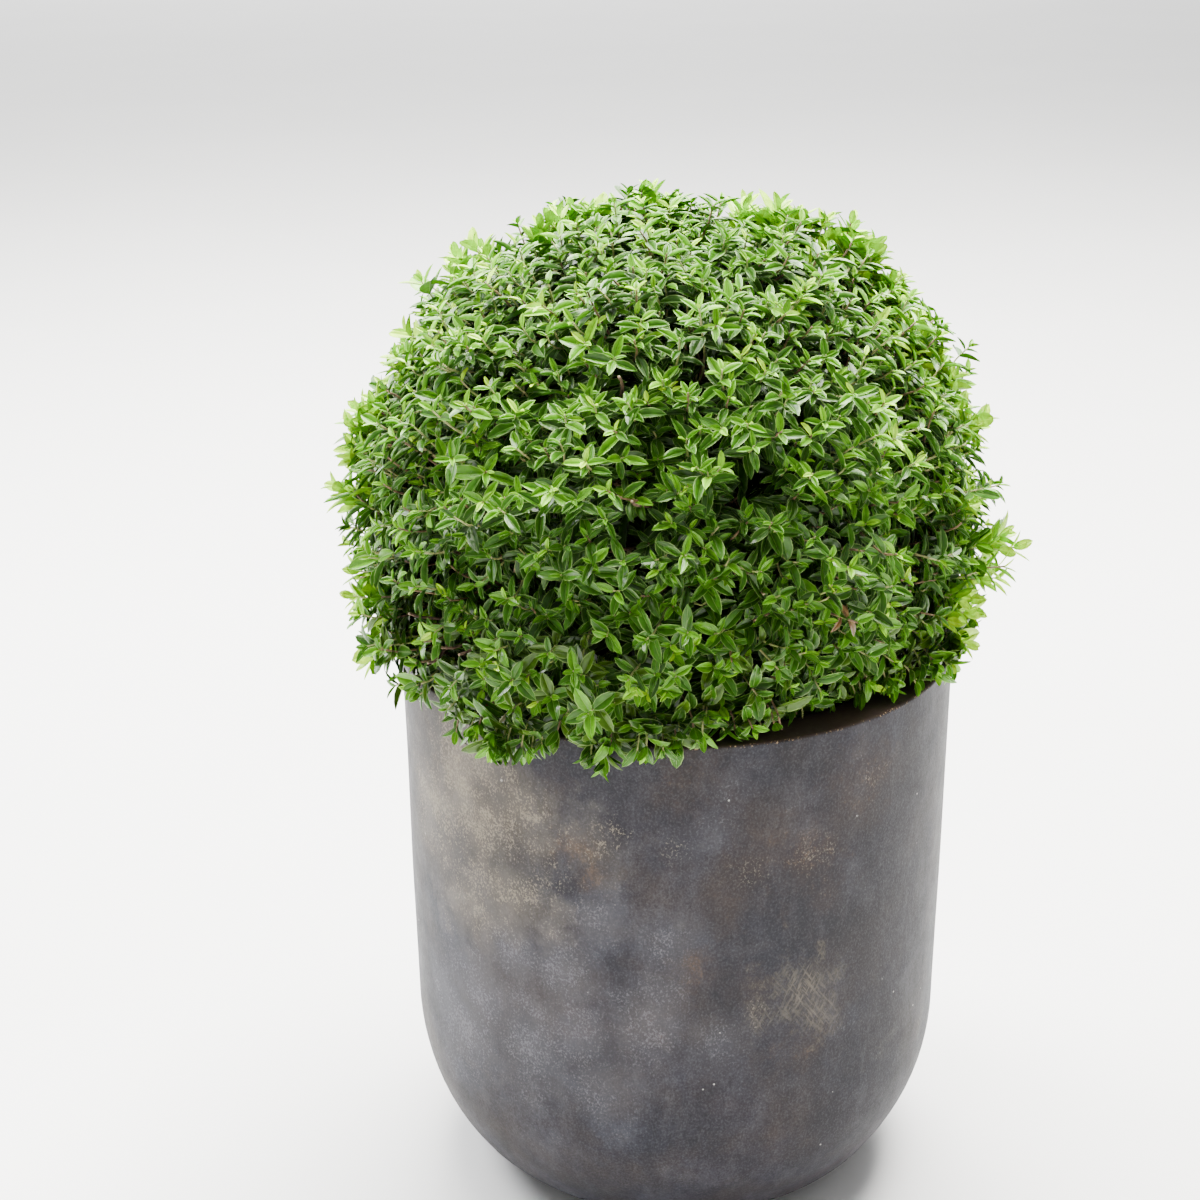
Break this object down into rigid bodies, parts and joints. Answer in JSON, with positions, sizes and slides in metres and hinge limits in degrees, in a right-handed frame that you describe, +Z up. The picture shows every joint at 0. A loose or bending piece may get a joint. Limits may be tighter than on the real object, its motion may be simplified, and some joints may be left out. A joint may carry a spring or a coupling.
{
  "type": "potted shrubby honeysuckle",
  "caption": "Evergreen shrubby honeysuckle clipped to a ball of small leaves, in a round dark grey planter with a rounded bottom.",
  "frame": {"origin": "middle of the planter's flat underside", "axes": "+Z up the planter's axis, -Y towards the front of the plant, +X to its right"},
  "size_m": [0.3669, 0.3541, 0.556],
  "materials": {
    "fibre_clay": "matt slate-grey fibre clay with a soft sheen, worn beige in patches",
    "compost": "dark moist crumbly compost",
    "bark": "thin brown bark that flakes in strips",
    "foliage": "small glossy dark green leaves with pale margins and lime green young tips"
  },
  "bodies": {
    "root": {"pot": "fibre_clay", "root_ball": "compost", "stem": "bark", "bough_front": "bark", "bough_front_right": "bark", "bough_back_right": "bark", "bough_back": "bark", "bough_back_left": "bark", "bough_front_left": "bark", "foliage_front": "foliage", "foliage_front_right": "foliage", "foliage_back_right": "foliage", "foliage_back": "foliage", "foliage_back_left": "foliage", "foliage_front_left": "foliage", "foliage_top": "foliage"}
  },
  "joints": []
}
